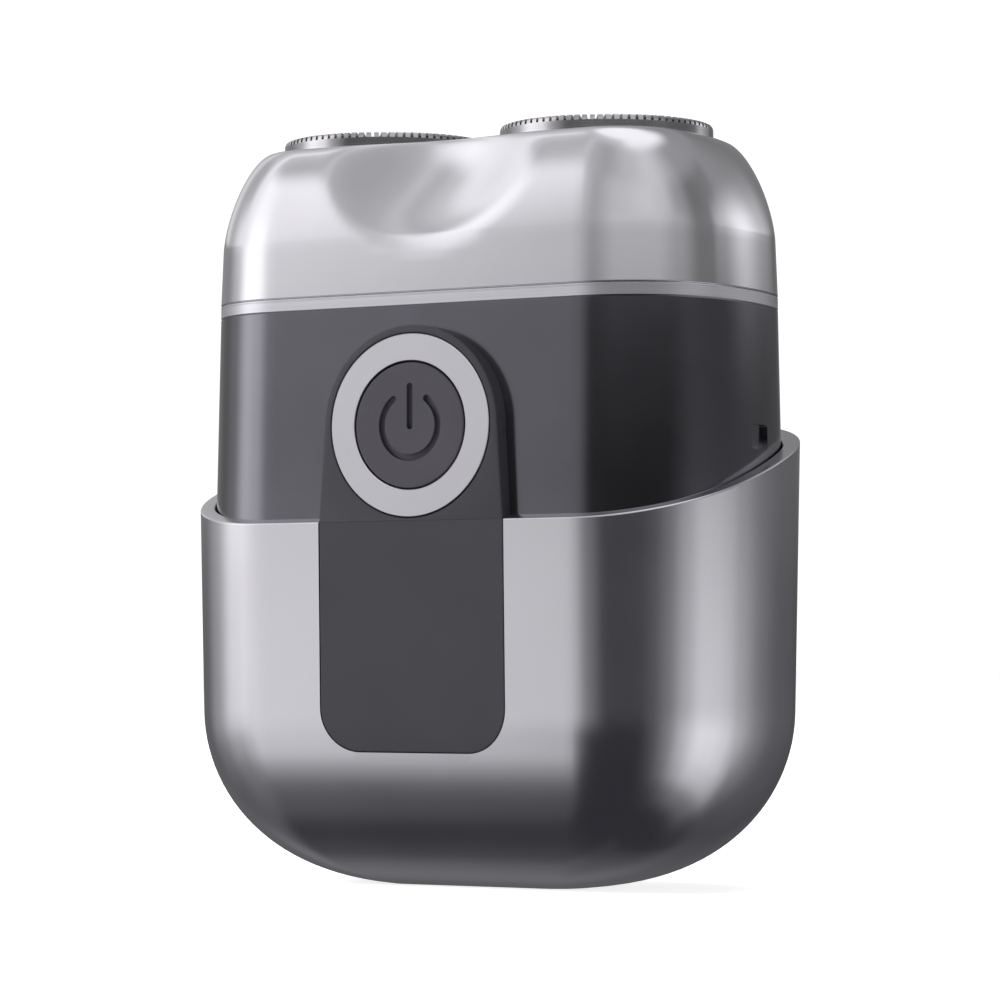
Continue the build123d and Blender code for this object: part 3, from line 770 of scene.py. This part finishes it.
def turned_steel(name, tone, rough):
    """Steel lapped in rings about the piece's own axis."""
    made = Shader(name, metallic=1.0)
    flat = made.node("VectorMath")
    flat.operation = "MULTIPLY"
    flat.inputs[1].default_value = (1, 1, 0)
    made.link(made.coords, flat.inputs[0])
    radius = made.node("VectorMath")
    radius.operation = "LENGTH"
    made.link(flat.outputs["Vector"], radius.inputs[0])
    height = made.node("SeparateXYZ")
    made.link(made.coords, height.inputs["Vector"])
    pair = made.node("CombineXYZ")
    made.link(radius.outputs["Value"], pair.inputs["X"])
    made.link(height.outputs["Z"], pair.inputs["Y"])
    lines = made.node("TexNoise", Scale=7000.0, Detail=3.0, Roughness=0.65)
    made.link(pair.outputs["Vector"], lines.inputs["Vector"])
    made.colour(lines.outputs["Fac"], grey(tone * 0.9, 0.01), grey(tone * 1.08, 0.01))
    made.roughness(made.noise((120, 120, 120)), rough * 0.85, rough * 1.15)
    made.bump(lines.outputs["Fac"], 0.0012)
    return made.material


def wound_copper(name):
    """Lacquered wire laid in fine turns."""
    made = Shader(name, metallic=1.0)
    turns = made.node("TexWave", Scale=650.0, Distortion=0.6, Detail=2.0)
    turns.bands_direction = "Z"
    made.link(made.coords, turns.inputs["Vector"])
    made.colour(turns.outputs["Fac"], (0.30, 0.11, 0.05), (0.85, 0.42, 0.22))
    made.roughness(made.noise((300, 300, 300)), 0.25, 0.4)
    made.bump(turns.outputs["Fac"], 0.06)
    return made.material


def circuit(name):
    """Solder mask over traces: a fine cell pattern in two greens."""
    made = Shader(name)
    cells = made.node("TexVoronoi", Scale=900.0)
    cells.distance = "CHEBYCHEV"
    made.link(made.coords, cells.inputs["Vector"])
    made.colour(cells.outputs["Distance"], (0.008, 0.06, 0.025), (0.02, 0.14, 0.06))
    made.roughness(made.noise((400, 400, 400)), 0.25, 0.4)
    made.bump(cells.outputs["Distance"], 0.03)
    return made.material


def printed_sleeve(name):
    """Shrink sleeve of a cell: glossy film with faint wrinkles."""
    made = Shader(name)
    folds = made.noise((60, 60, 500), detail=4)
    made.colour(folds, (0.015, 0.09, 0.28), (0.02, 0.12, 0.36))
    made.roughness(folds, 0.2, 0.35)
    made.bump(folds, 0.05)
    return made.material


materials = {
    "satin_silver": satin_metal("satin_silver", 0.79, 0.20, grain=0.0010),
    "cover_silver": satin_metal("cover_silver", 0.82, 0.15, grain=0.0005),
    "dark_body": satin_metal("dark_body", 0.25, 0.15, grain=0.0006, size=2200, spread=0.05, cast=1.07),
    "dark_panel": plastic("dark_panel", cool(0.034), 0.42, grain=0.003, size=2400, spread=0.04),
    "pale_silver": satin_metal("pale_silver", 0.84, 0.36, grain=0.0016),
    "button_rubber": plastic("button_rubber", cool(0.05), 0.5, grain=0.005, size=2600),
    "seal_rubber": plastic("seal_rubber", cool(0.018), 0.6, grain=0.01, size=1500),
    "brushed_band": brushed_metal("brushed_band", 0.86, 0.34, (25, 25, 5200), spread=0.08),
    "deck_plastic": plastic("deck_plastic", cool(0.03), 0.45, grain=0.006),
    "knob_plastic": plastic("knob_plastic", cool(0.09), 0.4, grain=0.006),
    "frame_plastic": plastic("frame_plastic", cool(0.12), 0.42, grain=0.006),
    "magnet": satin_metal("magnet", 0.62, 0.22, grain=0.001),
    "motor_steel": brushed_metal("motor_steel", 0.5, 0.32, (40, 40, 3500)),
    "copper": wound_copper("copper"),
    "pin_steel": brushed_metal("pin_steel", 0.6, 0.25, (60, 60, 4500), spread=0.08),
    "brass": brushed_metal("brass", 0.6, 0.3, (80, 80, 4000), warm=0.35, spread=0.08),
    "cell_sleeve": printed_sleeve("cell_sleeve"),
    "board": circuit("board"),
    "wire": plastic("wire", (0.35, 0.02, 0.015), 0.35, grain=0.01, size=900),
    "gear_plastic": plastic("gear_plastic", (0.72, 0.70, 0.64), 0.38, grain=0.006),
    "spindle_plastic": plastic("spindle_plastic", (0.62, 0.62, 0.60), 0.36, grain=0.006),
    "cap_steel": turned_steel("cap_steel", 0.66, 0.13),
}


# ---- pieces ----

def dress(piece, body, node, slot):
    """Put a built piece in the place of a CAD node."""
    piece.data.materials.clear()
    piece.data.materials.append(materials[slot])
    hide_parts(node)
    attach(piece, body)


dress(make_lower_shell(), "housing", "lower_shell", "satin_silver")
dress(make_body_shell(), "housing", "body_shell", "dark_body")
dress(make_front_panel(), "housing", "front_panel", "dark_panel")
dress(make_bezel_ring(), "housing", "bezel_ring", "pale_silver")
dress(make_trim_band(), "housing", "trim_band", "brushed_band")
dress(make_button(), "button", "power_button", "button_rubber")
dress(make_head_cover(), "head", "head_cover", "cover_silver")
dress(make_cover_pads(), "head", "head_cover", "cover_silver")
for cap, side in zip(make_caps(), ("left", "right")):
    dress(cap, "cap_" + side, "cap_" + side, "cap_steel")


for node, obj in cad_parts.items():
    if obj.hide_render:
        continue
    slot = obj.data.materials[0].name.split(".")[0]
    for place in obj.material_slots:
        place.material = materials[slot]


# ---- stage ----

def add_floor():
    """Pale floor that gives off its own light and is hidden from the object's reflections."""
    bm = bmesh.new()
    radii = (0.05, 0.2, 0.6, 2.0, 8.0)
    sides = 64
    turns = [2 * pi * i / sides for i in range(sides)]
    loops = [[bm.verts.new((radius * cos(turn), radius * sin(turn), 0.0)) for turn in turns]
             for radius in radii]
    bm.faces.new(loops[0])
    for below, above in zip(loops, loops[1:]):
        for i in range(sides):
            j = (i + 1) % sides
            bm.faces.new((below[i], below[j], above[j], above[i]))
    mesh = bpy.data.meshes.new("floor")
    bm.to_mesh(mesh)
    bm.free()
    floor = bpy.data.objects.new("floor", mesh)
    bpy.context.scene.collection.objects.link(floor)
    made = Shader("floor_paper")
    cloud = made.noise((8, 8, 8))
    made.colour(cloud, (0.9, 0.9, 0.9), (0.93, 0.93, 0.93))
    made.roughness(cloud, 0.8, 0.9)
    made.shader.inputs["Emission Color"].default_value = (1, 1, 1, 1)
    made.shader.inputs["Emission Strength"].default_value = 0.78
    mesh.materials.append(made.material)
    floor.visible_glossy = False


add_floor()


def add_lamp(name, location, size, power):
    """Square softbox aimed at the middle of the object, hidden from its reflections."""
    data = bpy.data.lights.new(name, "AREA")
    data.shape, data.size, data.energy = "SQUARE", size, power
    lamp = bpy.data.objects.new(name, data)
    lamp.location = location
    aim = Vector((0, 0, 0.045)) - Vector(location)
    lamp.rotation_euler = aim.to_track_quat("-Z", "Y").to_euler()
    lamp.visible_glossy = False
    bpy.context.scene.collection.objects.link(lamp)


add_lamp("key", (-1.1, -1.0, 0.9), 0.9, 22.0)
add_lamp("crown", (0.1, 0.3, 1.6), 0.9, 10.0)


def add_world():
    """Grey level for each direction round the object, and plain white behind it for the camera.

    This isn't a plain soft studio. The levels were adjusted against tables of the photograph's
    brightness by reflected direction, so they suit the one camera.
    """
    world = bpy.data.worlds.new("studio")
    bpy.context.scene.world = world
    world.use_nodes = True
    tree = world.node_tree
    tree.nodes.clear()

    def node(kind, operation=None):
        made = tree.nodes.new("ShaderNode" + kind)
        if operation:
            made.operation = operation
        return made

    def math(operation, a, b=None):
        made = node("Math", operation)
        for socket, value in zip(made.inputs, (a, b)):
            if value is None:
                continue
            if isinstance(value, (int, float)):
                socket.default_value = value
            else:
                tree.links.new(value, socket)
        return made.outputs[0]

    def ramp(value, stops, interpolation="EASE"):
        made = node("ValToRGB")
        band = made.color_ramp
        band.interpolation = interpolation
        while len(band.elements) < len(stops):
            band.elements.new(0.5)
        for element, (place, level) in zip(band.elements, stops):
            element.position = place
            element.color = (level, level, level, 1)
        tree.links.new(value, made.inputs["Fac"])
        return made.outputs["Color"]

    direction = node("TexCoord").outputs["Generated"]
    split = node("SeparateXYZ")
    tree.links.new(direction, split.inputs["Vector"])
    x, y, z = split.outputs
    # azimuth: 0 in front of the object, a quarter turn to its right at +X
    azimuth = math("ARCTAN2", x, math("MULTIPLY", y, -1.0))
    turn = math("ADD", math("DIVIDE", azimuth, 2 * pi), 0.5)
    height = math("ADD", math("DIVIDE", math("ARCSINE", z), pi), 0.5)

    def around(stops):
        """Levels at azimuths in degrees, as a ramp over the full turn."""
        return ramp(turn, [(0.5 + degrees / 360, level) for degrees, level in stops])

    def upright(stops):
        """Levels at elevations in degrees, as a ramp from straight down to straight up."""
        return ramp(height, [(0.5 + degrees / 180, level) for degrees, level in stops])

    def step(start, stop):
        """Share of the way up between two elevations in degrees."""
        return upright([(start, 0.0), (stop, 1.0)])

    def mix(share, first, second, blend="MIX"):
        made = node("MixRGB")
        made.blend_type = blend
        for socket, value in zip(made.inputs, (share, first, second)):
            if isinstance(value, (float, tuple)):
                socket.default_value = value
            else:
                tree.links.new(value, socket)
        return made.outputs["Color"]

    # low round the object: bright on each side and left of the front, fading towards the ground
    left = around([(-115, 0.02), (-90, 0.28), (-64, 0.77), (-50, 0.71), (-38, 0.28), (-24, 0.0)])
    left_fade = upright([(-54, 0.0), (-42, 0.11), (-38, 0.13), (-27, 0.20),
                         (-15, 0.46), (-5, 0.92), (0, 1.0)])
    front = mix(step(-13, -2),
                around([(-60, 0.0), (-48, 0.20), (-36, 0.68), (-31, 0.62),
                        (-26, 0.16), (-19, 0.05), (-10, 0.0)]),
                around([(-60, 0.0), (-48, 0.20), (-36, 0.62), (-26, 0.60), (-12, 0.22), (4, 0.02)]))
    front_fade = upright([(-44, 0.0), (-34, 0.10), (-27, 0.42), (-20, 0.92), (-8, 0.94), (0, 1.0)])
    right = around([(34, 0.0), (46, 0.05), (60, 0.20), (76, 0.57), (92, 0.90), (108, 0.86),
                    (124, 0.75), (136, 0.52), (147, 0.18), (160, 0.07), (180, 0.05)])
    right_fade = upright([(-66, 0.0), (-52, 0.17), (-38, 0.70), (-26, 0.92),
                          (-12, 1.0), (-4, 0.86), (2, 0.72)])
    rim_glow = around([(-180, 0.05), (-150, 0.13), (-120, 0.16), (-95, 0.06), (-65, 0.015),
                       (-40, 0.0)])
    glow_fade = upright([(-78, 0.15), (-62, 0.5), (-42, 1.0), (-25, 0.6), (0, 0.45)])
    low = mix(1.0, mix(1.0, left, left_fade, "MULTIPLY"), mix(1.0, right, right_fade, "MULTIPLY"), "ADD")
    low = mix(1.0, low, mix(1.0, front, front_fade, "MULTIPLY"), "ADD")
    low = mix(1.0, low, mix(1.0, rim_glow, glow_fade, "MULTIPLY"), "ADD")
    low = mix(1.0, low, (0.032, 0.031, 0.036, 1.0), "ADD")
    # a narrow band just over the horizon, dark but for the left side
    middle = around([(-180, 0.14), (-150, 0.3), (-105, 0.25), (-84, 0.45), (-62, 1.45), (-47, 1.15),
                     (-32, 0.36), (-14, 0.02), (60, 0.0), (100, 0.12), (140, 0.1), (180, 0.14)])
    # higher up: a brighter left side, a grey front and a slim bright patch behind on the right
    high = around([(-180, 0.2), (-150, 0.24), (-135, 0.5), (-120, 0.78), (-106, 0.48), (-80, 0.95),
                   (-58, 1.3), (-46, 1.3), (-36, 1.0), (-27, 0.50), (-15, 0.42), (12, 0.60),
                   (55, 0.60), (80, 0.44), (105, 0.20), (122, 0.22), (134, 0.5), (150, 0.85),
                   (166, 0.45), (180, 0.2)])
    shoulder = around([(-180, 0.2), (-150, 0.24), (-135, 0.5), (-120, 0.75), (-104, 0.45),
                       (-90, 0.48), (-76, 1.0), (-58, 1.2), (-46, 1.15), (-36, 1.0), (-27, 0.55),
                       (-15, 0.42), (12, 0.58), (45, 0.66), (65, 0.6), (85, 0.34), (105, 0.18),
                       (135, 0.22), (150, 0.3), (180, 0.22)])
    upper = around([(-180, 0.3), (-125, 0.45), (-98, 0.6), (-88, 0.68), (-76, 1.0), (-64, 0.62),
                    (-48, 0.5), (-36, 0.62), (-24, 0.48), (-5, 0.40), (30, 0.56), (55, 0.66),
                    (105, 0.34), (180, 0.3)])
    top = around([(-180, 0.5), (-30, 0.6), (10, 0.62), (45, 1.05), (120, 1.1), (180, 0.5)])
    walls = mix(step(0.5, 3.0), low, middle)
    walls = mix(step(8.2, 9.8), walls, high)
    glint = mix(1.0, around([(136, 0.0), (150, 0.42), (166, 0.2), (178, 0.0)]),
                upright([(5, 0.0), (8, 1.0), (14, 0.5), (22, 0.0)]), "MULTIPLY")
    walls = mix(1.0, walls, glint, "ADD")
    walls = mix(step(15, 28), walls, shoulder)
    walls = mix(step(34, 44), walls, upper)
    walls = mix(step(57, 68), walls, top)
    studio = mix(step(67, 76), walls, (1.1, 1.1, 1.1, 1.0))
    # diffuse rays see an even dim grey in place of these levels
    path = node("LightPath")
    seen = mix(path.outputs["Is Diffuse Ray"], studio, (0.16, 0.16, 0.17, 1.0))
    lights = node("Background")
    tree.links.new(seen, lights.inputs["Color"])
    backdrop = node("Background")
    backdrop.inputs["Color"].default_value = (1, 1, 1, 1)
    backdrop.inputs["Strength"].default_value = 1.1
    blend = node("MixShader")
    tree.links.new(path.outputs["Is Camera Ray"], blend.inputs[0])
    tree.links.new(lights.outputs[0], blend.inputs[1])
    tree.links.new(backdrop.outputs[0], blend.inputs[2])
    output = node("OutputWorld")
    tree.links.new(blend.outputs[0], output.inputs["Surface"])


add_world()
view = bpy.context.scene.view_settings
view.view_transform = "Standard"
view.look = "None"
